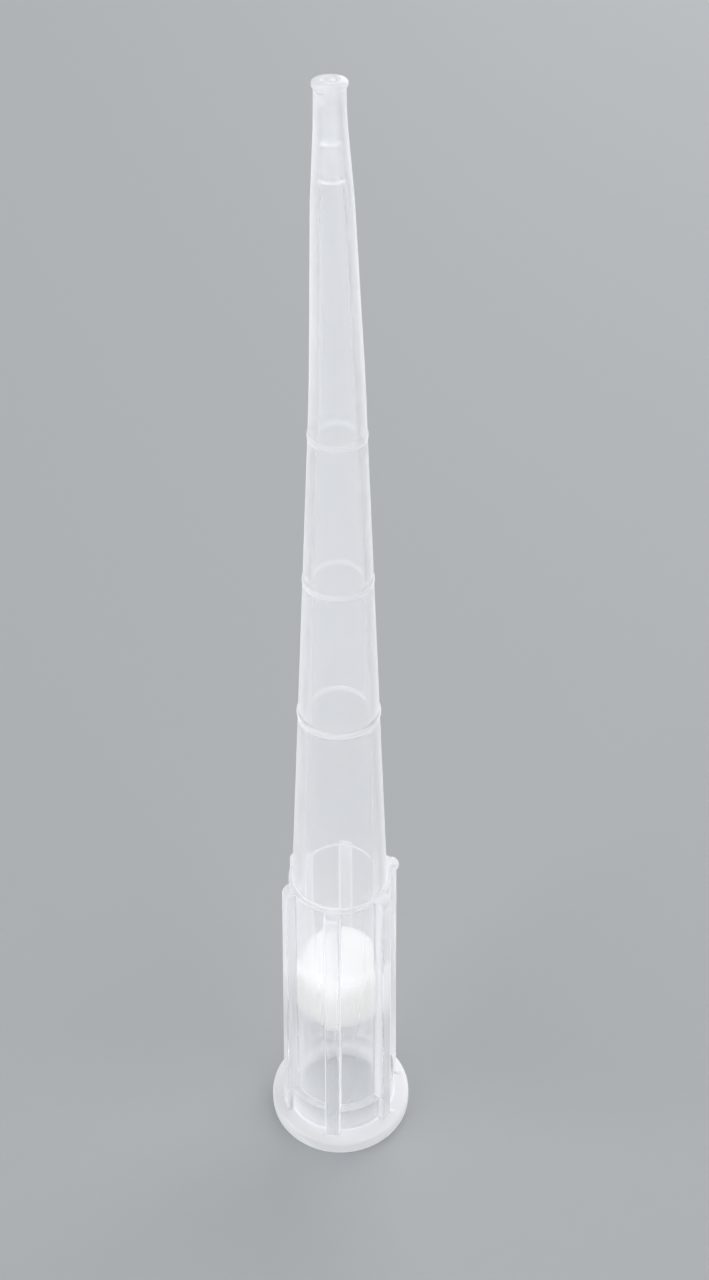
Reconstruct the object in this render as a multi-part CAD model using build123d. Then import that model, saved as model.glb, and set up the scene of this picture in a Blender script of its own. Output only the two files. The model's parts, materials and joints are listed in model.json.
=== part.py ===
from build123d import *
import os

# Filter pipette tip of the 200 microlitre class, standing on its collar with the orifice up.
# Millimetres, +Z up. The origin is the centre of the rest face, in the plane of the open mouth.
# Heights grow from the mouth to the orifice. What belongs to the orifice end is set by its distance
# from the orifice, as a tip is graduated.

# Overall length, and the bore that grips the pipette's nozzle: the other radii build on it
total_length = 58.5
socket_radius = 2.42
socket_length = 5.60

# Mouth sleeve: the thin-walled stretch between the collar and the hub, and its lead-in
sleeve_top = 2.73
sleeve_taper = 0.03
mouth_flare = 0.43
mouth_wall = 0.21
mouth_chamfer = 0.06
lead_in_flare = 0.18
lead_in_below_ledge = 0.23
lead_in_height = 0.50

# Collar: the flange around the open mouth
collar_height = 0.90
collar_width = 0.84
collar_top_round = 0.30
collar_foot_round = 0.12

# Hub: the stretch around the socket and the filter
hub_wall = 0.28
hub_taper = 0.10
hub_top = 18.24
ledge_width = 0.19
ledge_round = 0.06
inner_corner_round = 0.08

# Ribs along the hub, from the collar to the ledge at the hub's top
rib_count = 6
rib_start_angle = -90
rib_width = 0.80
rib_foot_rise = 0.28
rib_top_rise = 0.42
rib_top_round = 0.38
rib_edge_round = 0.10
rib_sink = 0.10

# Gate vestige: the bead that the mould's gate left on the top of one rib
gate_rib = 2
gate_radius = 0.38
gate_depth = 0.13
gate_below_ledge = 0.36

# Filter plug, pressed in until it meets the stop shoulder, and its seat
filter_length = 3.30
filter_foot_gap = 0.10
filter_clearance = 0.01
filter_edge_round = 0.05
seat_step = 0.20
seat_taper_height = 0.40
stop_width = 0.10

# Graduation beads around the cone: each a half-round band at its distance from the orifice
mark_distances = [29.25, 21.70, 14.45]
mark_heights = [0.065, 0.035, 0.035]
mark_section_radius = 0.34

# Cone: straight from the hub to a knee at the last graduation, then slimmer, then a short nose
cone_wall = 0.39
knee_radius = 1.235
nose_distance = 4.50
nose_radius = 0.84
neck_distance = 1.70
neck_radius = 0.64
lip_height = 0.30
lip_foot_radius = 0.585
lip_radius = 0.655
lip_round = 0.10

# Bore of the nose: it narrows in two small steps
first_step_distance = 3.70
first_step_radius = 0.36
second_step_distance = 2.30
second_step_radius = 0.27
step_height = 0.12
step_depth = 0.05
orifice_radius = 0.22

# The nose leans slightly: this tip is a little bent near its end
lean_angle = 1.15
bend_distance = 12.0
bend_half_length = 1.0

# Radii and heights that follow from the sizes above
mouth_radius = socket_radius + mouth_flare
sleeve_foot_radius = mouth_radius + mouth_wall
collar_radius = sleeve_foot_radius + collar_width
hub_foot_radius = socket_radius + hub_wall
hub_top_radius = hub_foot_radius - hub_taper
cone_foot_radius = hub_top_radius - ledge_width
rib_top_radius = hub_top_radius + rib_top_rise
seat_radius = socket_radius - seat_step
lead_in_top = sleeve_top - lead_in_below_ledge
socket_start = lead_in_top + lead_in_height
socket_end = socket_start + socket_length
seat_start = socket_end + seat_taper_height
seat_end = seat_start + filter_foot_gap + filter_length
nose_height = total_length - nose_distance
bend_height = total_length - bend_distance
bend_start = bend_height - bend_half_length
bend_end = bend_height + bend_half_length
knee_height = total_length - mark_distances[-1]
cone_outline = [
    (cone_foot_radius, hub_top),
    (knee_radius, knee_height),
    (nose_radius, nose_height),
]


def cone_radius(height):
    """The cone's outer radius at a height between the hub and the nose."""
    for (low_radius, low), (high_radius, high) in zip(cone_outline, cone_outline[1:]):
        if height <= high:
            break
    return low_radius + (high_radius - low_radius) * (height - low) / (high - low)


def turned(corners):
    """Revolve an outline of (radius, height, corner round) rows about the Z axis."""
    points = [(radius, height) for radius, height, corner in corners]
    rounds = [corner for radius, height, corner in corners]
    outline = FilletPolyline(*points, radius=rounds, close=True)
    return revolve(Plane.XZ * make_face(outline), Axis.Z)


def outer_shell():
    """The collar, sleeve, hub, cone and lip as one turned solid without its bore."""
    return turned([
        (0, 0, 0),
        (collar_radius, 0, collar_foot_round),
        (collar_radius, collar_height, collar_top_round),
        (sleeve_foot_radius, collar_height, inner_corner_round),
        (sleeve_foot_radius - sleeve_taper, sleeve_top, ledge_round),
        (hub_foot_radius, sleeve_top, inner_corner_round),
        (hub_top_radius, hub_top, ledge_round),
        (cone_foot_radius, hub_top, inner_corner_round),
        (knee_radius, knee_height, 0),
        (nose_radius, nose_height, 0),
        (neck_radius, total_length - neck_distance, 0),
        (lip_foot_radius, total_length - lip_height, 0),
        (lip_radius, total_length - lip_height / 2, 0),
        (lip_radius, total_length, lip_round),
        (0, total_length, 0),
    ])


def bore():
    """The open inside: mouth, lead-in, nozzle socket, filter seat, stop, cone and stepped nose."""
    first_step = total_length - first_step_distance
    second_step = total_length - second_step_distance
    return turned([
        (0, -collar_height, 0),
        (mouth_radius + mouth_chamfer, -collar_height, 0),
        (mouth_radius + mouth_chamfer, 0, 0),
        (mouth_radius, mouth_chamfer, 0),
        (socket_radius + lead_in_flare, lead_in_top, 0),
        (socket_radius, socket_start, 0),
        (socket_radius, socket_end, 0),
        (seat_radius, seat_start, 0),
        (seat_radius, seat_end, 0),
        (seat_radius - stop_width, seat_end, 0),
        (cone_foot_radius - cone_wall, hub_top, 0),
        (knee_radius - cone_wall, knee_height, 0),
        (nose_radius - cone_wall, nose_height, 0),
        (first_step_radius, first_step, 0),
        (first_step_radius - step_depth, first_step + step_height, 0),
        (second_step_radius, second_step, 0),
        (orifice_radius, second_step + step_height, 0),
        (orifice_radius, total_length + lip_height, 0),
        (0, total_length + lip_height, 0),
    ])


def rib(angle):
    """One rib: a flat blade that narrows upwards, with its outer edges rounded."""
    root = hub_top_radius - rib_sink
    foot = collar_height / 2
    outline = FilletPolyline(
        (root, foot),
        (sleeve_foot_radius + rib_foot_rise, foot),
        (rib_top_radius, hub_top),
        (root, hub_top),
        radius=[0, 0, rib_top_round, 0],
        close=True,
    )
    blade = extrude(Plane.XZ * make_face(outline), rib_width / 2, both=True)
    outer_face = blade.faces().sort_by(Axis.X)[-1]
    blade = fillet(outer_face.edges().sort_by(SortBy.LENGTH)[-2:], rib_edge_round)
    return Rot(0, 0, angle) * blade


def graduation_bead(distance, proud):
    """A ring around the cone, of which only the outer part stands proud of it."""
    height = total_length - distance
    ring_radius = cone_radius(height) + proud - mark_section_radius
    return Pos(0, 0, height) * Torus(ring_radius, mark_section_radius)


def gate_vestige():
    """The bead near the top of the gate's rib."""
    angle = rib_start_angle + gate_rib * 360 / rib_count
    place = Pos(rib_top_radius - gate_depth, 0, hub_top - gate_below_ledge)
    return Rot(0, 0, angle) * place * Sphere(gate_radius)


def leaned(shape):
    """Turn a shape about the bend's centre, so that its top moves towards -X."""
    return Pos(0, 0, bend_height) * Rot(0, -lean_angle, 0) * Pos(0, 0, -bend_height) * shape


def bent_frustum(foot_radius, top_radius):
    """The cone's stretch inside the bend, from a level circle to a leaned one."""
    foot = Pos(0, 0, bend_start) * Circle(foot_radius)
    top = leaned(Pos(0, 0, bend_end) * Circle(top_radius))
    return loft([foot, top])


def bend_nose(straight):
    """Lean everything above the bend and bridge it to what is below."""
    low = split(straight, Plane.XY.offset(bend_start), keep=Keep.BOTTOM)
    high = leaned(split(straight, Plane.XY.offset(bend_end), keep=Keep.TOP))
    foot_radius = cone_radius(bend_start)
    top_radius = cone_radius(bend_end)
    bridge = bent_frustum(foot_radius, top_radius)
    bridge -= bent_frustum(foot_radius - cone_wall, top_radius - cone_wall)
    return low + bridge + high


def tip_body():
    """The one moulding: shell, ribs, gate vestige and graduation beads, bored through."""
    solid = outer_shell()
    for index in range(rib_count):
        solid += rib(rib_start_angle + index * 360 / rib_count)
    solid += gate_vestige()
    for distance, proud in zip(mark_distances, mark_heights):
        solid += graduation_bead(distance, proud)
    return bend_nose(solid - bore())


def filter_plug():
    """The porous plug: a plain cylinder with softly rounded rims, its top on the stop shoulder."""
    plug = Cylinder(seat_radius - filter_clearance, filter_length)
    plug = fillet(plug.edges().filter_by(GeomType.CIRCLE), filter_edge_round)
    return Pos(0, 0, seat_end - filter_length / 2) * plug


os.makedirs("parts", exist_ok=True)
export_step(tip_body(), "parts/tip_body.step")
export_step(filter_plug(), "parts/filter.step")
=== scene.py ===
"""A filter pipette tip standing on its collar: one translucent moulding around a porous plug."""

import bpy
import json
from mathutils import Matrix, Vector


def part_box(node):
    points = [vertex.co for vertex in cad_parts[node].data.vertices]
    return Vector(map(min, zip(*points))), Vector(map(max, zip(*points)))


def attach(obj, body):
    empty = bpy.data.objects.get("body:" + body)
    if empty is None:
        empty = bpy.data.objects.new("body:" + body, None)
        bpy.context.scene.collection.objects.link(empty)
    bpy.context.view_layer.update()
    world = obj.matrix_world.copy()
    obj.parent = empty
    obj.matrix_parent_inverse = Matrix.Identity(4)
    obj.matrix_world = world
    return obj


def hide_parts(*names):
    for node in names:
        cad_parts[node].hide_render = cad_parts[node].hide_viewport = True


bl_info = {
    "name": "Filter Pipette Tip",
    "version": (1, 0, 0),
    "blender": (4, 5, 0),
    "location": "3D View > Sidebar > Pipette Tip",
    "description": "Builds a translucent filter pipette tip around its frame, on a studio floor",
    "category": "Add Mesh",
}

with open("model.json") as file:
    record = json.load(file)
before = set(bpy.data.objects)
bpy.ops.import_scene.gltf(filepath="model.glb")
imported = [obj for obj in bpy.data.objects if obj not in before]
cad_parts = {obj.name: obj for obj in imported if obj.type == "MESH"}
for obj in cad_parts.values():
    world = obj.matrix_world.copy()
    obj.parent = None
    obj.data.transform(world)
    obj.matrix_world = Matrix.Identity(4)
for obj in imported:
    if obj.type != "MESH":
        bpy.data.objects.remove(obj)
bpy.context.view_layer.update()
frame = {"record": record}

import bisect
import json
import math

import bmesh
import bpy
from mathutils import Matrix, Vector

MM = 0.001

# Sizes read from the frame, in millimetres
MOUNTS = {mount["name"]: mount for mount in frame["record"]["mounts"]}
BODY_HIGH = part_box("tip_body")[1] / MM
PLUG_LOW, PLUG_HIGH = (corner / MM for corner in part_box("filter"))
SOCKET = MOUNTS["nozzle_socket"]
SOCKET_RADIUS = SOCKET["dims"]["r_mm"]
SOCKET_LENGTH = SOCKET["dims"]["length_mm"]
SOCKET_MIDDLE = SOCKET["pos_m"][2] / MM
TOTAL_LENGTH = MOUNTS["orifice"]["pos_m"][2] / MM
COLLAR_HEIGHT = MOUNTS["rack_seat"]["pos_m"][2] / MM
COLLAR_RADIUS = BODY_HIGH.y

# The frame's plug is clear of its seat, and the drawn one is pressed into it
PLUG_CLEARANCE = 0.01
PLUG_PRESS = 0.01
PLUG_ROUND = 0.06
PLUG_CORE = 0.2
SEAT_RADIUS = PLUG_HIGH.x + PLUG_CLEARANCE
SEAT_FOOT_GAP = 0.10
STOP_WIDTH = 0.10

# Collar and mouth
MOUTH_RADIUS = 2.85
MOUTH_CHAMFER = 0.06
COLLAR_FOOT_ROUND = 0.12
COLLAR_TOP_ROUND = 0.30
LEAD_IN_TOP = 2.50
LEAD_IN_RADIUS = 2.60

# Mouth sleeve, hub and cone of the moulding, and the ledges between them
SLEEVE_TOP = 2.73
SLEEVE_FOOT_RADIUS = 3.06
SLEEVE_TOP_RADIUS = 3.03
HUB_TOP = 18.24
HUB_FOOT_RADIUS = 2.70
HUB_TOP_RADIUS = 2.60
CONE_FOOT_RADIUS = 2.41
CONE_WALL = 0.39
LEDGE_RISE = 0.01
LEDGE_ROUND = 0.06
INNER_ROUND = 0.08

# Ribs
RIB_COUNT = 6
RIB_START = -90.0
RIB_FOOT_RADIUS = 3.34
RIB_TOP_RADIUS = 3.02
RIB_TOP_ROUND = 0.38
RIB_ROUND_LIMIT = 0.45

# Gate vestige on one rib
GATE_RIB = 2
GATE_RADIUS = 0.38
GATE_AXIS_DISTANCE = 2.89
GATE_BELOW_LEDGE = 0.36
GATE_WALL_MARGIN = 0.05

# Cone and nose: distances run down from the orifice
MARK_DISTANCES = (29.25, 21.70, 14.45)
MARK_HEIGHTS = (0.065, 0.035, 0.035)
MARK_HALF_WIDTH = 0.20
KNEE_RADIUS = 1.235
NOSE_DISTANCE = 4.50
NOSE_RADIUS = 0.84
NOSE_BEND = 12.0
NECK_DISTANCE = 1.70
NECK_RADIUS = 0.64
NECK_BEND = 6.0
BEND_DISTANCE = 12.0
BEND_HALF_LENGTH = 1.0

# Lip: for each way in which it is uneven, the side that faces so and its half width, in degrees
LIP_HEIGHT = 0.30
LIP_FOOT_RADIUS = 0.585
LIP_RADIUS = 0.655
LIP_TOP_ROUND = 0.11
LIP_EDGE_ROUND = 0.06
LIP_EDGE = LIP_HEIGHT * 0.6
LIP_REACH = LIP_HEIGHT * 1.6
LIP_FADE = 0.1
LIP_THIN_SIDE = (-56.0, 22.0)
LIP_THICK_SIDE = (-112.0, 34.0)
LIP_DRAWN_SIDE = (-4.0, 28.0)
LIP_THIN_LIFT = 0.11
LIP_THICK_DROP = 0.13
LIP_DRAWN_DROP = 0.003
LIP_THIN_SPREAD = 0.08
LIP_THICK_SPREAD = 0.02
LIP_DRAWN_SPREAD = 0.07

# Bore of the nose and the cone: it narrows in two small steps, and its other corners are soft
FIRST_STEP_DISTANCE = 3.70
FIRST_STEP_RADIUS = 0.36
SECOND_STEP_DISTANCE = 2.30
SECOND_STEP_RADIUS = 0.27
STEP_HEIGHT = 0.12
STEP_DEPTH = 0.05
STEP_ROUND = 0.05
ORIFICE_RADIUS = 0.22
BORE_NOSE_BEND = 1.0
BORE_KNEE_BEND = 20.0
BORE_FOOT_BEND = 10.0
SEAT_FOOT_ROUND = 0.3
LEAD_IN_ROUND = 0.1

# How finely a ring is divided, for each half of a rib's 60 degree sector
TOP_STEPS = 4
EDGE_STEPS = 4
SIDE_STEPS = 2
ROOT_STEPS = 3
ARC_STEPS = 8
# The same steps on a plain ring, each with the angle where it ends, in degrees from the rib
PLAIN_SPREAD = ((TOP_STEPS, 5.6), (EDGE_STEPS, 8.8), (SIDE_STEPS, 10.4), (ROOT_STEPS, 13.0),
                (ARC_STEPS, 180.0 / RIB_COUNT))

# How finely a round is divided, and the greatest distance between rings along each stretch
ROUND_STEPS = 4
FINE_ROUND_STEPS = 6
HUB_SPACING = 0.8
RIB_TOP_SPACING = 0.055
CONE_SPACING = 0.7
BEAD_SPACING = 0.05
BORE_SPACING = 0.9
PLUG_SPACING = 0.2

# Where the hub's even rings start above the sleeve and end below the ledge, and the ribs' tops
HUB_RINGS_START = 0.5
HUB_RINGS_END = 1.0
RIB_TOP_ZONE = 0.95

# Rings put in just before and after a height where the milkiness changes
LEDGE_BAND = 0.10
COLLAR_BAND = (INNER_ROUND * 1.4, INNER_ROUND * 3.5)
SLEEVE_BAND = (-LEDGE_BAND * 1.3, LEDGE_BAND * 1.5)
PLUG_BAND = (-0.01, LEDGE_BAND)
CONE_BAND = LEDGE_BAND * 1.5

# The first point of an outline that starts with a round only says where the round comes from
RUN_IN = 1.0

# Milkiness: 0 is a thin wall, 1 is solid white, and below 0 is clearer than a thin wall
SOLID_MILK = 1.0
# The band at the hub's top ledge is whiter, partly from the corner's resin, partly as a painted
# highlight
LEDGE_MILK_AND_HIGHLIGHT = 0.85
STEP_MILK = 0.6
LIP_MILK = 0.6
NOSE_MILK = 0.25
# The beads are whiter partly from their resin, partly as a painted highlight on their arcs
BEAD_MILK_AND_HIGHLIGHT = 0.65
RIB_SIDE_MILK = 0.45
RIB_SIDE_GAIN = 8.0
# Painted light: the ribs' sides at the sleeve are made milky so no dark shaded slit shows
SLEEVE_SIDE_PAINTED_LIGHT = 0.7
SLEEVE_MILK = -0.18
SOCKET_MILK = -0.1
CLEAR_MILK = -0.12
FOOT_RING_HEIGHT = 0.001
FROSTING_REACH = 5.0

# Names of what the moulding's mesh stores at each point
# The milkiness stored here also holds painted highlights and painted light, beside the resin's
# milk
MILK_AND_PAINTED_LIGHT = "milk_and_painted_light"
OUTSIDE = "outside"
FROSTED = "frosted"

# Edges that turn by more than this stay crisp
SHARP_ANGLE = math.radians(38.0)

# Stage, in metres
FLOOR_RADIUS = 0.9
FLOOR_SEGMENTS = 128
SOFTBOX_SIZE = 1.50
KEY_PLACE = (-1.28, -0.78, 0.74)
FILL_PLACE = (1.40, -0.66, 0.62)
BACK_PLACE = (0.45, 1.26, 0.71)


def linear(colour):
    """An sRGB hex colour, such as "e6e8ea", as linear red, green, blue and alpha."""
    channels = [int(colour[place:place + 2], 16) / 255 for place in (0, 2, 4)]
    return [c / 12.92 if c <= 0.04045 else ((c + 0.055) / 1.055) ** 2.4 for c in channels] + [1.0]


def add_node(tree, kind, links=None, **settings):
    """Add a node to a tree, set its inputs or its own settings, and link its inputs."""
    node = tree.nodes.new(kind)
    for name, value in settings.items():
        if name in node.inputs:
            node.inputs[name].default_value = value
        else:
            setattr(node, name, value)
    for name, socket in (links or {}).items():
        tree.links.new(socket, node.inputs[name])
    return node


def new_material(name):
    """An empty node material and its tree."""
    material = bpy.data.materials.new(name)
    material.use_nodes = True
    material.node_tree.nodes.clear()
    return material, material.node_tree


def lerp(low, high, share):
    """The value a share of the way from low to high."""
    return low + (high - low) * share


def level_value(levels, height):
    """Interpolate between (height, value) rows that rise in height."""
    heights = [row[0] for row in levels]
    place = min(max(bisect.bisect_left(heights, height), 1), len(levels) - 1)
    (low, low_value), (high, high_value) = levels[place - 1], levels[place]
    return lerp(low_value, high_value, (height - low) / (high - low))


def rounded_outline(corners, steps=ROUND_STEPS):
    """Points of an outline of (radius, height, corner round) rows, with arcs for the rounds."""
    points = []
    for index, (radius, height, corner) in enumerate(corners):
        here = Vector((radius, height))
        if corner == 0 or index in (0, len(corners) - 1):
            points.append(here)
            continue
        back = (Vector(corners[index - 1][:2]) - here).normalized()
        ahead = (Vector(corners[index + 1][:2]) - here).normalized()
        half = back.angle(ahead) / 2
        centre = here + (back + ahead).normalized() * corner / math.sin(half)
        start = here + back * corner / math.tan(half) - centre
        end = here + ahead * corner / math.tan(half) - centre
        turn = start.angle_signed(end)
        for step in range(steps + 1):
            points.append(centre + Matrix.Rotation(-turn * step / steps, 2) @ start)
    return points


def subdivided(points, spacing):
    """The points of an outline with more put in where two are further apart than spacing."""
    fine = [points[0]]
    for here, after in zip(points, points[1:]):
        count = max(1, math.ceil((after - here).length / spacing))
        fine += [here.lerp(after, step / count) for step in range(1, count + 1)]
    return fine


def evenly(low, high, spacing):
    """Heights from low to high, no further apart than spacing."""
    count = max(1, math.ceil((high - low) / spacing))
    return [lerp(low, high, step / count) for step in range(count + 1)]


def rib_radius(height):
    """The outer radius of a rib at a height, with its rounded top."""
    share = (height - COLLAR_HEIGHT / 2) / (HUB_TOP - COLLAR_HEIGHT / 2)
    radius = lerp(RIB_FOOT_RADIUS, RIB_TOP_RADIUS, share)
    into_round = max(0.0, height - (HUB_TOP - RIB_TOP_ROUND))
    return radius - RIB_TOP_ROUND + math.sqrt(RIB_TOP_ROUND ** 2 - into_round ** 2)


def bead_rise(height):
    """How far the graduation beads stand proud of the cone at a height."""
    for distance, proud in zip(MARK_DISTANCES, MARK_HEIGHTS):
        share = (height - TOTAL_LENGTH + distance) / MARK_HALF_WIDTH
        if abs(share) < 1.0:
            return proud * (1.0 - share * share)
    return 0.0


def half_rib_section(base, rib, half_width, edge, root):
    """Points of half a sector across the hub, from a rib's middle to midway to the next."""
    rise = rib - math.sqrt(base ** 2 - half_width ** 2)
    edge = min(edge, rise * RIB_ROUND_LIMIT)
    root = min(root, rise * RIB_ROUND_LIMIT)
    points = [(rib, (half_width - edge) * step / TOP_STEPS) for step in range(TOP_STEPS + 1)]
    for step in range(1, EDGE_STEPS + 1):
        angle = math.pi / 2 * step / EDGE_STEPS
        points.append((rib - edge + edge * math.cos(angle),
                       half_width - edge + edge * math.sin(angle)))
    root_y = half_width + root
    root_x = math.sqrt((base + root) ** 2 - root_y ** 2)
    for step in range(1, SIDE_STEPS + 1):
        points.append((lerp(rib - edge, root_x, step / SIDE_STEPS), half_width))
    sweep = math.pi / 2 - math.atan2(root_y, root_x)
    for step in range(1, ROOT_STEPS + 1):
        angle = -math.pi / 2 - sweep * step / ROOT_STEPS
        points.append((root_x + root * math.cos(angle), root_y + root * math.sin(angle)))
    start = math.atan2(points[-1][1], points[-1][0])
    for step in range(1, ARC_STEPS + 1):
        angle = lerp(start, math.pi / RIB_COUNT, step / ARC_STEPS)
        points.append((base * math.cos(angle), base * math.sin(angle)))
    return points


def half_plain_section(radius):
    """Points of half a sector around a circle, as many as across the hub, at like angles."""
    angles = [0.0]
    for steps, end in PLAIN_SPREAD:
        start = angles[-1]
        angles += [lerp(start, end, step / steps) for step in range(1, steps + 1)]
    turns = [math.radians(angle) for angle in angles]
    return [(radius * math.cos(turn), radius * math.sin(turn)) for turn in turns]


def full_ring(half, height):
    """A whole ring from half a sector: mirrored about the rib and repeated for every rib."""
    sector = [(x, -y) for x, y in reversed(half[1:])] + half[:-1]
    ring = []
    for rib in range(RIB_COUNT):
        turn = Matrix.Rotation(math.radians(RIB_START + rib * 360.0 / RIB_COUNT), 3, "Z")
        ring += [turn @ Vector((x, y, height)) for x, y in sector]
    return ring


def collar_outline():
    """The collar, from the inner edge of its rest face round to the foot of the sleeve."""
    return rounded_outline([
        (MOUTH_RADIUS, MOUTH_CHAMFER, 0),
        (MOUTH_RADIUS + MOUTH_CHAMFER, 0, 0),
        (COLLAR_RADIUS, 0, COLLAR_FOOT_ROUND),
        (COLLAR_RADIUS, COLLAR_HEIGHT, COLLAR_TOP_ROUND),
        (SLEEVE_FOOT_RADIUS + INNER_ROUND, COLLAR_HEIGHT, 0),
    ], steps=FINE_ROUND_STEPS)[:-1]


def hub_outline():
    """The sleeve and the hub between the ribs, as (height, radius) rows."""
    corners = rounded_outline([
        (SLEEVE_FOOT_RADIUS + RUN_IN, COLLAR_HEIGHT, 0),
        (SLEEVE_FOOT_RADIUS, COLLAR_HEIGHT, INNER_ROUND),
        (SLEEVE_TOP_RADIUS, SLEEVE_TOP, LEDGE_ROUND),
        (HUB_FOOT_RADIUS, SLEEVE_TOP + LEDGE_RISE, INNER_ROUND),
        (HUB_TOP_RADIUS, HUB_TOP, LEDGE_ROUND),
        (CONE_FOOT_RADIUS, HUB_TOP, 0),
    ])[1:-1]
    rows = [(point.y, point.x) for point in corners]
    heights = {height for height, _ in rows}
    bands = ((COLLAR_HEIGHT, COLLAR_BAND), (SLEEVE_TOP, SLEEVE_BAND), (PLUG_LOW.z, PLUG_BAND))
    for level, band in bands:
        heights |= {level + offset for offset in band}
    heights |= set(evenly(SLEEVE_TOP + HUB_RINGS_START, HUB_TOP - HUB_RINGS_END, HUB_SPACING))
    heights |= set(evenly(HUB_TOP - RIB_TOP_ZONE, HUB_TOP, RIB_TOP_SPACING))
    return [(height, level_value(rows, height)) for height in sorted(heights)]


def cone_outline():
    """The cone up to the lip with its graduation beads, as (height, radius) rows."""
    corners = rounded_outline([
        (CONE_FOOT_RADIUS + RUN_IN, HUB_TOP, 0),
        (CONE_FOOT_RADIUS, HUB_TOP, INNER_ROUND),
        (KNEE_RADIUS, TOTAL_LENGTH - MARK_DISTANCES[-1], 0),
        (NOSE_RADIUS, TOTAL_LENGTH - NOSE_DISTANCE, NOSE_BEND),
        (NECK_RADIUS, TOTAL_LENGTH - NECK_DISTANCE, NECK_BEND),
        (LIP_FOOT_RADIUS, TOTAL_LENGTH - LIP_HEIGHT, 0),
    ], steps=FINE_ROUND_STEPS)[1:]
    rows = [(point.y, point.x) for point in corners]
    heights = {height for height, _ in rows} | {HUB_TOP + CONE_BAND}
    heights |= set(evenly(rows[FINE_ROUND_STEPS][0], rows[-1][0], CONE_SPACING))
    for distance in MARK_DISTANCES:
        middle = TOTAL_LENGTH - distance
        heights |= set(evenly(middle - MARK_HALF_WIDTH, middle + MARK_HALF_WIDTH, BEAD_SPACING))
    return [(height, level_value(rows, height) + bead_rise(height)) for height in sorted(heights)]


def bore_outline():
    """From the lip over the orifice and down the bore to the mouth."""
    first_step = TOTAL_LENGTH - FIRST_STEP_DISTANCE
    second_step = TOTAL_LENGTH - SECOND_STEP_DISTANCE
    corners = rounded_outline([
        (LIP_FOOT_RADIUS, TOTAL_LENGTH - LIP_HEIGHT, 0),
        (LIP_RADIUS, TOTAL_LENGTH - LIP_EDGE, LIP_EDGE_ROUND),
        (LIP_RADIUS, TOTAL_LENGTH, LIP_TOP_ROUND),
        (ORIFICE_RADIUS, TOTAL_LENGTH, LIP_EDGE_ROUND),
        (ORIFICE_RADIUS, second_step + STEP_HEIGHT, STEP_ROUND),
        (SECOND_STEP_RADIUS, second_step, STEP_ROUND),
        (FIRST_STEP_RADIUS - STEP_DEPTH, first_step + STEP_HEIGHT, STEP_ROUND),
        (FIRST_STEP_RADIUS, first_step, STEP_ROUND),
        (NOSE_RADIUS - CONE_WALL, TOTAL_LENGTH - NOSE_DISTANCE, BORE_NOSE_BEND),
        (KNEE_RADIUS - CONE_WALL, TOTAL_LENGTH - MARK_DISTANCES[-1], BORE_KNEE_BEND),
        (CONE_FOOT_RADIUS - CONE_WALL, HUB_TOP, BORE_FOOT_BEND),
        (SEAT_RADIUS - STOP_WIDTH, PLUG_HIGH.z, 0),
        (SEAT_RADIUS, PLUG_HIGH.z, 0),
        (SEAT_RADIUS, PLUG_LOW.z - SEAT_FOOT_GAP, SEAT_FOOT_ROUND),
        (SOCKET_RADIUS, SOCKET_MIDDLE + SOCKET_LENGTH / 2, SEAT_FOOT_ROUND),
        (SOCKET_RADIUS, SOCKET_MIDDLE - SOCKET_LENGTH / 2, LEAD_IN_ROUND),
        (LEAD_IN_RADIUS, LEAD_IN_TOP, LEAD_IN_ROUND),
        (MOUTH_RADIUS, MOUTH_CHAMFER, 0),
    ])[1:-1]
    return subdivided(corners, BORE_SPACING)


def swell_gate(point):
    """Push what lies inside the gate vestige's bead out to its surface."""
    angle = math.radians(RIB_START + GATE_RIB * 360.0 / RIB_COUNT)
    centre = Vector((GATE_AXIS_DISTANCE * math.cos(angle), GATE_AXIS_DISTANCE * math.sin(angle),
                     HUB_TOP - GATE_BELOW_LEDGE))
    offset = point - centre
    on_rib = math.hypot(point.x, point.y) > HUB_TOP_RADIUS + GATE_WALL_MARGIN
    if on_rib and offset.length < GATE_RADIUS:
        return centre + offset.normalized() * GATE_RADIUS
    return point


def facing(angle, side):
    """How much an angle, in degrees, belongs to a side of the lip, from 0 to 1."""
    middle, half_width = side
    return math.exp(-((angle - middle) / half_width) ** 2)


def trim_lip(point):
    """Make the lip as uneven as moulding flash: thin, thick and drawn out on different sides."""
    below_top = TOTAL_LENGTH - point.z
    radius = math.hypot(point.x, point.y)
    if below_top > LIP_REACH or radius < ORIFICE_RADIUS * 1.5:
        return point
    angle = math.degrees(math.atan2(point.y, point.x))
    thin = facing(angle, LIP_THIN_SIDE)
    thick = facing(angle, LIP_THICK_SIDE)
    drawn = facing(angle, LIP_DRAWN_SIDE)
    share = min(1.0, below_top / LIP_EDGE) * min(1.0, (LIP_REACH - below_top) / LIP_FADE)
    point.z += (thin * LIP_THIN_LIFT - thick * LIP_THICK_DROP) * share - drawn * LIP_DRAWN_DROP
    widening = drawn * LIP_DRAWN_SPREAD - thin * LIP_THIN_SPREAD + thick * LIP_THICK_SPREAD
    spread = 1.0 + widening * (radius / LIP_RADIUS)
    point.x *= spread
    point.y *= spread
    return point


def leaned(point, lean):
    """Lean the nose over towards -X, above the bend."""
    start = TOTAL_LENGTH - BEND_DISTANCE - BEND_HALF_LENGTH
    above = point.z - start
    if above <= 0:
        return point
    share = min(1.0, above / (2 * BEND_HALF_LENGTH))
    bent = min(above, 2 * BEND_HALF_LENGTH)
    angle = lean * share
    reach = lean * bent * share / 2 + math.sin(lean) * (above - bent)
    rise = bent + math.cos(lean) * (above - bent)
    turned = Matrix.Rotation(-angle, 3, "Y") @ Vector((point.x, point.y, 0.0))
    return turned + Vector((-reach, 0.0, start + rise))


def rib_share(point, wall, rib):
    """How far out a point is from the wall's radius to the rib's, from 0 to 1."""
    out = max(0.0, math.hypot(point.x, point.y) - wall)
    return min(1.0, out / max(rib - wall, 0.01))


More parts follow.
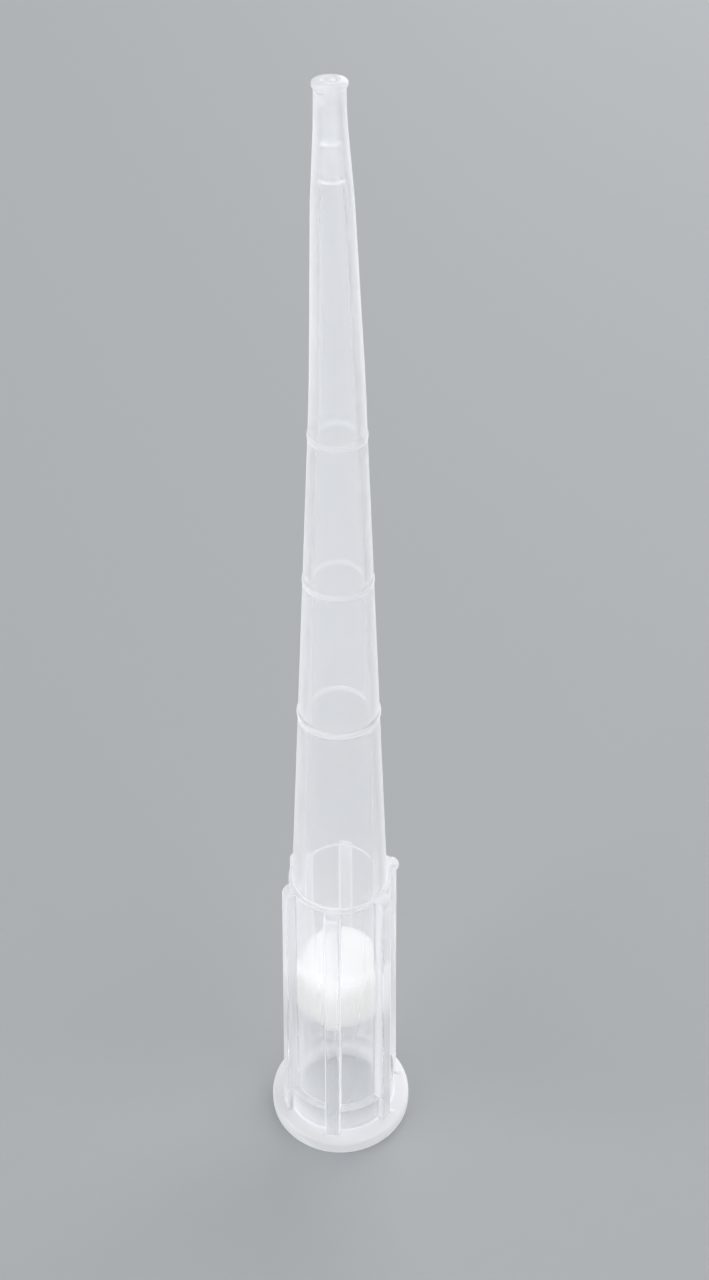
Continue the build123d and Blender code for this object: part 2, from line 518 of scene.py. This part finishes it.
def rib_milk_and_painted_light(share, height):
    """How milky the hub's outside is, from its wall, at share 0, to a rib's face, at share 1.
    The ribs' sides at the sleeve carry painted light, and the band below the top ledge is
    partly a painted highlight.
    """
    if height < COLLAR_HEIGHT + FOOT_RING_HEIGHT:
        return SOLID_MILK
    # A rib's face is clear at its foot and whitens towards its top
    up = (height / HUB_TOP) ** 3
    wall, sides, face = 0.0, RIB_SIDE_MILK, lerp(CLEAR_MILK, LEDGE_MILK_AND_HIGHLIGHT, up)
    # Painted light: below the sleeve's top, the ribs' sides are painted milky over the shade
    if height < SLEEVE_TOP:
        wall, sides, face = SLEEVE_MILK, SLEEVE_SIDE_PAINTED_LIGHT, SLEEVE_MILK
    elif height < PLUG_LOW.z:
        wall = SOCKET_MILK
    if height < COLLAR_HEIGHT + INNER_ROUND * 1.5:
        wall = SOLID_MILK
    elif abs(height - SLEEVE_TOP) < LEDGE_BAND:
        wall = STEP_MILK
    # Partly painted highlight: a whiter band just below the hub's top ledge
    elif height > HUB_TOP - LEDGE_BAND:
        wall = LEDGE_MILK_AND_HIGHLIGHT
    return max(lerp(wall, face, share), sides * min(1.0, RIB_SIDE_GAIN * share * (1.0 - share)))


def cone_milk_and_highlight(height):
    """How milky the cone's outside is: its foot, the beads, the thick nose and the lip more so;
    the foot and the beads partly as a painted highlight.
    """
    if height > TOTAL_LENGTH - LIP_HEIGHT * 1.5:
        return LIP_MILK
    # Partly painted highlight: a whiter band just above the hub's top ledge
    if height < HUB_TOP + LEDGE_BAND:
        return LEDGE_MILK_AND_HIGHLIGHT
    if height < TOTAL_LENGTH - MARK_DISTANCES[0] - MARK_HALF_WIDTH:
        return CLEAR_MILK
    nose = NOSE_MILK if height > TOTAL_LENGTH - FIRST_STEP_DISTANCE else 0.0
    # Partly painted highlight: the beads whiten with how far they stand proud
    return nose + BEAD_MILK_AND_HIGHLIGHT * math.sqrt(bead_rise(height) / max(MARK_HEIGHTS))


def bore_milk_and_highlight(height):
    """How milky the bore's surface is: the lip is milky, and the nose's two steps are
    painted solid white, a painted highlight where they catch the light.
    """
    if height > TOTAL_LENGTH - LIP_HEIGHT:
        return LIP_MILK
    # Painted highlight: the nose's two steps inside are painted solid white
    for distance in (FIRST_STEP_DISTANCE, SECOND_STEP_DISTANCE):
        if abs(height - (TOTAL_LENGTH - distance + STEP_HEIGHT / 2)) < STEP_HEIGHT / 2:
            return SOLID_MILK
    return SOCKET_MILK if height < SLEEVE_TOP else 0.0


def frosting(height):
    """How frosted the cone's flanks are, from 0 at the last graduation to 1 well above it."""
    return min(1.0, max(0.0, height - TOTAL_LENGTH + MARK_DISTANCES[-1]) / FROSTING_REACH)


def link_mesh(name, mesh):
    """A new object for a mesh, in the scene."""
    piece = bpy.data.objects.new(name, mesh)
    bpy.context.scene.collection.objects.link(piece)
    return piece


def loft_rings(name, rings, closed):
    """A smooth piece through rings of as many points each, in millimetres."""
    mesh = bmesh.new()
    grid = [[mesh.verts.new(point * MM) for point in ring] for ring in rings]
    pairs = list(zip(grid, grid[1:] + grid[:1] if closed else grid[1:]))
    for low, high in pairs:
        for index in range(len(low)):
            after = (index + 1) % len(low)
            mesh.faces.new((low[index], low[after], high[after], high[index]))
    if not closed:
        mesh.faces.new(reversed(grid[0]))
        mesh.faces.new(grid[-1])
    for face in mesh.faces:
        face.smooth = True
    for edge in mesh.edges:
        edge.smooth = edge.calc_face_angle(0.0) < SHARP_ANGLE
    data = bpy.data.meshes.new(name)
    mesh.to_mesh(data)
    mesh.free()
    piece = link_mesh(name, data)
    piece.modifiers.new("Even normals", "WEIGHTED_NORMAL").keep_sharp = True
    return piece


class TipBodySettings(bpy.types.PropertyGroup):
    """Sizes and colours of the moulding."""

    rib_width: bpy.props.FloatProperty(
        name="Rib width", description="Width of each rib", default=0.80 * MM, unit="LENGTH")
    rib_edge: bpy.props.FloatProperty(
        name="Rib edge", description="Round along each rib's outer edges", default=0.14 * MM,
        unit="LENGTH")
    rib_root: bpy.props.FloatProperty(
        name="Rib root", description="Fillet where a rib meets the hub", default=0.08 * MM,
        unit="LENGTH")
    lean: bpy.props.FloatProperty(
        name="Nose lean", description="How far the nose leans over", default=math.radians(1.15),
        subtype="ANGLE", unit="ROTATION")
    resin: bpy.props.StringProperty(
        name="Resin", description="Colour of the undyed resin, sRGB hex", default="f1f2f5")
    haze: bpy.props.FloatProperty(
        name="Haze", description="Share of the light that a thin wall's surface scatters",
        default=0.22, subtype="FACTOR", min=0.0, max=1.0)


class TipFilterSettings(bpy.types.PropertyGroup):
    """Sizes and colours of the porous plug."""

    grain: bpy.props.FloatProperty(
        name="Grain", description="Size of the sintered grains as drawn", default=0.12 * MM,
        unit="LENGTH")
    white: bpy.props.StringProperty(
        name="White", description="Colour of the sintered plug, sRGB hex", default="ebebe9")


class TipStageSettings(bpy.types.PropertyGroup):
    """The floor, the lights and the camera."""

    floor: bpy.props.StringProperty(
        name="Floor", description="Colour of the floor, sRGB hex", default="a4a7aa")
    sky: bpy.props.StringProperty(
        name="Sky", description="Colour of the light from all around, sRGB hex", default="edeeef")
    sky_strength: bpy.props.FloatProperty(
        name="Sky strength", description="Strength of the light from all around", default=0.50,
        min=0.0)
    key: bpy.props.FloatProperty(
        name="Key light", description="Power of the key softbox", default=18.5, unit="POWER")
    fill: bpy.props.FloatProperty(
        name="Fill light", description="Power of the fill softbox", default=16.0, unit="POWER")
    back: bpy.props.FloatProperty(
        name="Back light", description="Power of the softbox behind the tip", default=15.5,
        unit="POWER")
    camera_lens: bpy.props.FloatProperty(
        name="Camera lens", description="Focal length of the lens", default=45.0, unit="CAMERA")
    camera_height: bpy.props.FloatProperty(
        name="Camera height", description="Height of the lens above the floor",
        default=77.64 * MM, unit="LENGTH")
    camera_reach: bpy.props.FloatProperty(
        name="Camera reach", description="Distance of the lens from the tip's axis",
        default=56.81 * MM, unit="LENGTH")
    camera_side: bpy.props.FloatProperty(
        name="Camera side", description="How far the lens stands to the right",
        default=0.72 * MM, unit="LENGTH")
    camera_turn: bpy.props.FloatProperty(
        name="Camera turn", description="Turn of the view around the tip",
        default=math.radians(7.5), subtype="ANGLE", unit="ROTATION")
    camera_pitch: bpy.props.FloatProperty(
        name="Camera pitch", description="How far the view looks down",
        default=math.radians(37.93), subtype="ANGLE", unit="ROTATION")
    camera_roll: bpy.props.FloatProperty(
        name="Camera roll", description="Tilt of the picture",
        default=math.radians(0.162), subtype="ANGLE", unit="ROTATION")


def natural_polypropylene(settings):
    """Undyed polypropylene, moulded: milky, whiter where thick or seen edge on, softly glossy."""
    # The resin's crystals scatter light. The eye gets a faintly clouded wall that shows what is
    # inside, and white where there is more resin: the collar, ledges, beads, ribs and lip. The
    # ledges and beads are also whitened as a painted highlight, the nose's steps inside are a
    # painted highlight, and the ribs' sides at the sleeve are painted light.
    material, tree = new_material("Natural polypropylene, moulded")
    # The milkiness read here holds painted highlights and painted light as well as the resin's
    # milk
    milk = add_node(tree, "ShaderNodeAttribute", attribute_name=MILK_AND_PAINTED_LIGHT)
    outside = add_node(tree, "ShaderNodeAttribute", attribute_name=OUTSIDE)
    frosted = add_node(tree, "ShaderNodeAttribute", attribute_name=FROSTED)
    place = add_node(tree, "ShaderNodeTexCoord")

    # The share of the light that scatters, from a thin wall's haze to solid white
    haze = add_node(
        tree, "ShaderNodeMapRange", {"Value": milk.outputs["Fac"]},
        clamp=False, **{"To Min": settings.haze, "To Max": 0.88})

    # Faint clouds where the melt flowed unevenly, one in about 3.3 mm
    cloud = add_node(
        tree, "ShaderNodeTexNoise", {"Vector": place.outputs["Object"]},
        Scale=0.3 / MM, Detail=1.0)
    uneven = add_node(
        tree, "ShaderNodeMapRange", {"Value": cloud.outputs["Fac"]},
        **{"From Min": 0.3, "From Max": 0.7, "To Min": 0.95, "To Max": 1.05})
    cloudy = add_node(
        tree, "ShaderNodeMath", {0: haze.outputs["Result"], 1: uneven.outputs["Result"]},
        operation="MULTIPLY")

    # Edge on, the eye looks through more resin, so the outline is whiter: on the outside only
    edge = add_node(tree, "ShaderNodeLayerWeight", Blend=0.5)
    edge_on = add_node(
        tree, "ShaderNodeMapRange", {"Value": edge.outputs["Facing"]},
        interpolation_type="SMOOTHSTEP",
        **{"From Min": 0.30, "From Max": 1.0, "To Min": 0.0, "To Max": 0.70})
    rim = add_node(
        tree, "ShaderNodeMath", {0: edge_on.outputs["Result"], 1: outside.outputs["Fac"]},
        operation="MULTIPLY")

    # The upper cone's skin is frosted, which whitens its flanks sooner
    flank = add_node(
        tree, "ShaderNodeMapRange", {"Value": edge.outputs["Facing"]},
        interpolation_type="SMOOTHSTEP",
        **{"From Min": 0.16, "From Max": 0.42, "To Min": 0.0, "To Max": 0.30})
    frost = add_node(
        tree, "ShaderNodeMath", {0: flank.outputs["Result"], 1: frosted.outputs["Fac"]},
        operation="MULTIPLY")
    coat = add_node(
        tree, "ShaderNodeMath", {0: rim.outputs["Value"], 1: frost.outputs["Value"]},
        operation="ADD")
    solid = add_node(
        tree, "ShaderNodeMath", {0: cloudy.outputs["Value"], 1: coat.outputs["Value"]},
        operation="ADD", use_clamp=True)

    # Scattered light still travels on, so the resin throws only half a shadow
    ray = add_node(tree, "ShaderNodeLightPath")
    shaded = add_node(
        tree, "ShaderNodeMapRange", {"Value": ray.outputs["Is Shadow Ray"]},
        **{"To Min": 1.0, "To Max": 0.5})
    share = add_node(
        tree, "ShaderNodeMath", {0: solid.outputs["Value"], 1: shaded.outputs["Result"]},
        operation="MULTIPLY")

    # The milk itself: a softly glossy skin, and light that glows through it where it is thin
    skin = add_node(
        tree, "ShaderNodeBsdfPrincipled",
        **{"Base Color": linear(settings.resin), "Roughness": 0.35, "IOR": 1.49})
    glow = add_node(tree, "ShaderNodeBsdfTranslucent", Color=linear(settings.resin))
    thin = add_node(
        tree, "ShaderNodeMapRange", {"Value": milk.outputs["Fac"]},
        **{"From Min": 0.88, "From Max": 1.0, "To Min": 0.5, "To Max": 0.15})
    milky = add_node(
        tree, "ShaderNodeMixShader",
        {0: thin.outputs["Result"], 1: skin.outputs["BSDF"], 2: glow.outputs["BSDF"]})

    # The clear share bends light. Shadow rays, and rays that have crossed many walls, pass
    # straight on, so that the inside is lit and no wall goes black.
    bends = add_node(tree, "ShaderNodeBsdfGlass", Roughness=0.06, IOR=1.49)
    passes = add_node(tree, "ShaderNodeBsdfTransparent")
    crossed = add_node(
        tree, "ShaderNodeMapRange", {"Value": ray.outputs["Ray Depth"]},
        **{"From Min": 4.0, "From Max": 5.0})
    straight = add_node(
        tree, "ShaderNodeMath",
        {0: ray.outputs["Is Shadow Ray"], 1: crossed.outputs["Result"]}, operation="MAXIMUM")
    clear = add_node(
        tree, "ShaderNodeMixShader",
        {0: straight.outputs["Value"], 1: bends.outputs["BSDF"], 2: passes.outputs["BSDF"]})

    wall = add_node(
        tree, "ShaderNodeMixShader",
        {0: share.outputs["Value"], 1: clear.outputs["Shader"], 2: milky.outputs["Shader"]})
    add_node(tree, "ShaderNodeOutputMaterial", {"Surface": wall.outputs["Shader"]})
    return material


def sintered_polyethylene(settings):
    """Porous polyethylene, sintered: fused white grains, matt, bright through and through."""
    # Light wanders a few millimetres among the grains, so the eye gets an even, soft white with
    # no gloss. Real grains are 0.05 to 0.1 mm, too fine to show, and are drawn a little coarser.
    material, tree = new_material("Porous polyethylene, sintered")
    place = add_node(tree, "ShaderNodeTexCoord")
    grains = add_node(
        tree, "ShaderNodeTexVoronoi", {"Vector": place.outputs["Object"]},
        Scale=1.0 / settings.grain)
    bump = add_node(
        tree, "ShaderNodeBump", {"Height": grains.outputs["Distance"]},
        Strength=0.4, Distance=settings.grain * 0.3)
    shader = add_node(tree, "ShaderNodeBsdfPrincipled", {"Normal": bump.outputs["Normal"]}, **{
        "Base Color": linear(settings.white),
        "Roughness": 0.85,
        "IOR": 1.51,
        "Subsurface Weight": 1.0,
        "Subsurface Radius": (1.0, 1.0, 0.95),
        "Subsurface Scale": 2.4 * MM,
    })
    add_node(tree, "ShaderNodeOutputMaterial", {"Surface": shader.outputs["BSDF"]})
    return material


def studio_floor(settings):
    """Painted board, matt: plain and pale, with no gloss to draw the eye."""
    material, tree = new_material("Painted board, matt")
    shader = add_node(
        tree, "ShaderNodeBsdfPrincipled",
        **{"Base Color": linear(settings.floor), "Roughness": 0.7})
    add_node(tree, "ShaderNodeOutputMaterial", {"Surface": shader.outputs["BSDF"]})
    return material


class TIP_OT_body(bpy.types.Operator):
    """Build the tip body: collar, sleeve, hub, ribs, cone and lip in one moulding"""

    bl_idname = "tip.body"
    bl_label = "Tip Body"

    def execute(self, context):
        settings = context.scene.tip_body
        half_width = settings.rib_width / MM / 2
        edge = settings.rib_edge / MM
        root = settings.rib_root / MM
        rings, milk, outside, frosted = [], [], [], []

        def add_ring(half, height, skin, milk_and_painted_light):
            ring = full_ring(half, height)
            rings.append([leaned(trim_lip(swell_gate(point)), settings.lean) for point in ring])
            milk.extend(milk_and_painted_light(point) for point in ring)
            outside.extend([skin] * len(ring))
            frosted.extend([skin * frosting(height)] * len(ring))

        for point in collar_outline():
            add_ring(half_plain_section(point.x), point.y, 1.0, lambda at: SOLID_MILK)
        for height, wall in hub_outline():
            rib = rib_radius(height)
            add_ring(half_rib_section(wall, rib, half_width, edge, root), height, 1.0,
                     lambda at: rib_milk_and_painted_light(rib_share(at, wall, rib), at.z))
        for height, radius in cone_outline():
            add_ring(half_plain_section(radius), height, 1.0, lambda at: cone_milk_and_highlight(height))
        for point in bore_outline():
            add_ring(half_plain_section(point.x), point.y, 0.0, lambda at: bore_milk_and_highlight(at.z))
        body = loft_rings("Tip_body", rings, closed=True)
        for name, values in ((MILK_AND_PAINTED_LIGHT, milk), (OUTSIDE, outside), (FROSTED, frosted)):
            body.data.attributes.new(name, "FLOAT", "POINT").data.foreach_set("value", values)
        body.data.materials.append(natural_polypropylene(settings))
        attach(body, "root")
        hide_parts("tip_body")
        return {"FINISHED"}


class TIP_OT_filter(bpy.types.Operator):
    """Build the porous filter plug inside the hub"""

    bl_idname = "tip.filter"
    bl_label = "Filter Plug"

    def execute(self, context):
        settings = context.scene.tip_filter
        radius = SEAT_RADIUS + PLUG_PRESS
        outline = subdivided(rounded_outline([
            (PLUG_CORE, PLUG_LOW.z, 0),
            (radius, PLUG_LOW.z, PLUG_ROUND),
            (radius, PLUG_HIGH.z, PLUG_ROUND),
            (PLUG_CORE, PLUG_HIGH.z, 0),
        ]), PLUG_SPACING)
        rings = [full_ring(half_plain_section(point.x), point.y) for point in outline]
        plug = loft_rings("Filter_plug", rings, closed=False)
        plug.data.materials.append(sintered_polyethylene(settings))
        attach(plug, "root")
        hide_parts("filter")
        return {"FINISHED"}


def add_softbox(name, power, place):
    """A square area light at a place in metres, facing the middle of the tip."""
    light = bpy.data.lights.new(name, "AREA")
    light.energy = power
    light.size = SOFTBOX_SIZE
    lamp = bpy.data.objects.new(name, light)
    lamp.visible_camera = False
    lamp.visible_transmission = False
    lamp.location = place
    aim = Vector((0.0, 0.0, TOTAL_LENGTH / 2 * MM))
    lamp.rotation_euler = (aim - lamp.location).to_track_quat("-Z", "Y").to_euler()
    bpy.context.scene.collection.objects.link(lamp)


def lay_floor(settings):
    """A round matt board under the tip."""
    mesh = bmesh.new()
    bmesh.ops.create_circle(mesh, cap_ends=True, segments=FLOOR_SEGMENTS, radius=FLOOR_RADIUS)
    data = bpy.data.meshes.new("Floor")
    mesh.to_mesh(data)
    mesh.free()
    floor = link_mesh("Floor", data)
    floor.data.materials.append(studio_floor(settings))


def light_studio(settings):
    """Three softboxes and an even light from all around."""
    add_softbox("Key softbox", settings.key, KEY_PLACE)
    add_softbox("Fill softbox", settings.fill, FILL_PLACE)
    add_softbox("Back softbox", settings.back, BACK_PLACE)
    world = bpy.data.worlds.new("Studio")
    world.use_nodes = True
    sky = world.node_tree.nodes["Background"]
    sky.inputs["Color"].default_value = linear(settings.sky)
    sky.inputs["Strength"].default_value = settings.sky_strength
    bpy.context.scene.world = world
    bpy.context.scene.view_settings.view_transform = "Standard"


def place_camera(settings):
    """The camera: close, a little to one side and looking down at the standing tip."""
    lens = bpy.data.cameras.new("Camera")
    lens.lens = settings.camera_lens
    lens.sensor_width = 36.0
    lens.clip_start = 0.005
    lens.clip_end = 20.0
    camera = bpy.data.objects.new("Camera", lens)
    turn = Matrix.Rotation(settings.camera_turn, 4, "Z")
    place = turn @ Vector((settings.camera_side, -settings.camera_reach, settings.camera_height))
    tilt = Matrix.Rotation(math.pi / 2 - settings.camera_pitch, 4, "X")
    roll = Matrix.Rotation(settings.camera_roll, 4, "Z")
    camera.matrix_world = Matrix.Translation(place) @ turn @ tilt @ roll
    bpy.context.scene.collection.objects.link(camera)
    bpy.context.scene.camera = camera


class TIP_OT_stage(bpy.types.Operator):
    """Set up the floor, the soft lights and the camera"""

    bl_idname = "tip.stage"
    bl_label = "Stage"

    def execute(self, context):
        settings = context.scene.tip_stage
        lay_floor(settings)
        light_studio(settings)
        place_camera(settings)
        return {"FINISHED"}


class TIP_PT_panel(bpy.types.Panel):
    """Lists the steps that build the tip"""

    bl_label = "Pipette Tip"
    bl_space_type = "VIEW_3D"
    bl_region_type = "UI"
    bl_category = "Pipette Tip"

    def draw(self, context):
        for operator in OPERATORS:
            self.layout.operator(operator.bl_idname)


OPERATORS = (TIP_OT_body, TIP_OT_filter, TIP_OT_stage)
GROUPS = {
    "tip_body": TipBodySettings,
    "tip_filter": TipFilterSettings,
    "tip_stage": TipStageSettings,
}


def register():
    """Register the settings, the operators and the panel."""
    for group in GROUPS.values():
        bpy.utils.register_class(group)
    for name, group in GROUPS.items():
        setattr(bpy.types.Scene, name, bpy.props.PointerProperty(type=group))
    for shown in (*OPERATORS, TIP_PT_panel):
        bpy.utils.register_class(shown)


def unregister():
    """Undo register, in reverse."""
    for shown in (TIP_PT_panel, *reversed(OPERATORS)):
        bpy.utils.unregister_class(shown)
    for name in GROUPS:
        delattr(bpy.types.Scene, name)
    for group in GROUPS.values():
        bpy.utils.unregister_class(group)


def main():
    """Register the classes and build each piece."""
    register()
    bpy.ops.tip.body()
    bpy.ops.tip.filter()
    bpy.ops.tip.stage()


if __name__ == "__main__":
    main()
